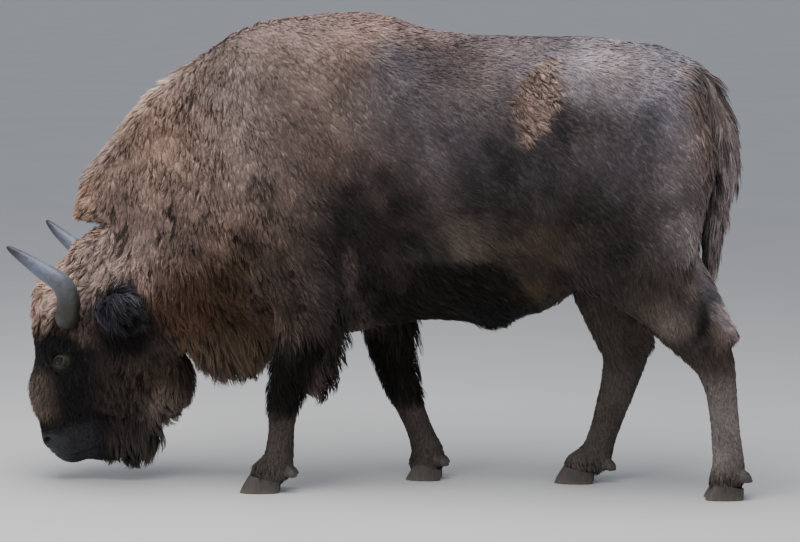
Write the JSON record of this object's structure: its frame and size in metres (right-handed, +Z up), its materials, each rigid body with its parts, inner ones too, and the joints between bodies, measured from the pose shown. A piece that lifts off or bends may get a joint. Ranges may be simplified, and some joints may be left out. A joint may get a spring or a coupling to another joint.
{
  "type": "wisent",
  "caption": "Life-size still model of a wisent (European bison) bull in winter coat, in mid-stride with its head lowered to graze.",
  "frame": {"origin": "on the floor, below the middle of the animal's box", "axes": "+Z up; the head points towards -X and the tail towards +X; the animal's left side faces -Y"},
  "size_m": [2.632, 0.6308, 1.7205],
  "materials": {
    "coat": "short dense dark-brown hair, soft sheen, woolly and lighter on the hump",
    "mane": "long woolly brown hair in clumped locks",
    "face": "dark short hair, curly brown forehead, bare slate-grey muzzle",
    "leg_hair": "short flat dark-brown hair",
    "ear_hair": "dark shaggy hair with greyish tips",
    "tail_hair": "long straight grey-brown hair",
    "horn": "smooth slate-grey horn, olive-brown at the base",
    "hoof": "dull grey-brown hoof horn, scuffed at the sole",
    "eye": "wet, glossy dark brown"
  },
  "bodies": {
    "root": {"trunk": "coat", "neck": "mane", "head": "face", "horn_left": "horn", "horn_right": "horn", "ear_left": "ear_hair", "ear_right": "ear_hair", "eye_left": "eye", "eye_right": "eye", "tail": "tail_hair", "foreleg_left_upper": "leg_hair", "foreleg_left_lower": "leg_hair", "hoof_fore_left_outer": "hoof", "dewclaw_fore_left_outer": "hoof", "hoof_fore_left_inner": "hoof", "dewclaw_fore_left_inner": "hoof", "foreleg_right_upper": "leg_hair", "foreleg_right_lower": "leg_hair", "hoof_fore_right_outer": "hoof", "dewclaw_fore_right_outer": "hoof", "hoof_fore_right_inner": "hoof", "dewclaw_fore_right_inner": "hoof", "hindleg_left_upper": "leg_hair", "hindleg_left_lower": "leg_hair", "hoof_hind_left_outer": "hoof", "dewclaw_hind_left_outer": "hoof", "hoof_hind_left_inner": "hoof", "dewclaw_hind_left_inner": "hoof", "hindleg_right_upper": "leg_hair", "hindleg_right_lower": "leg_hair", "hoof_hind_right_outer": "hoof", "dewclaw_hind_right_outer": "hoof", "hoof_hind_right_inner": "hoof", "dewclaw_hind_right_inner": "hoof"}
  },
  "joints": []
}
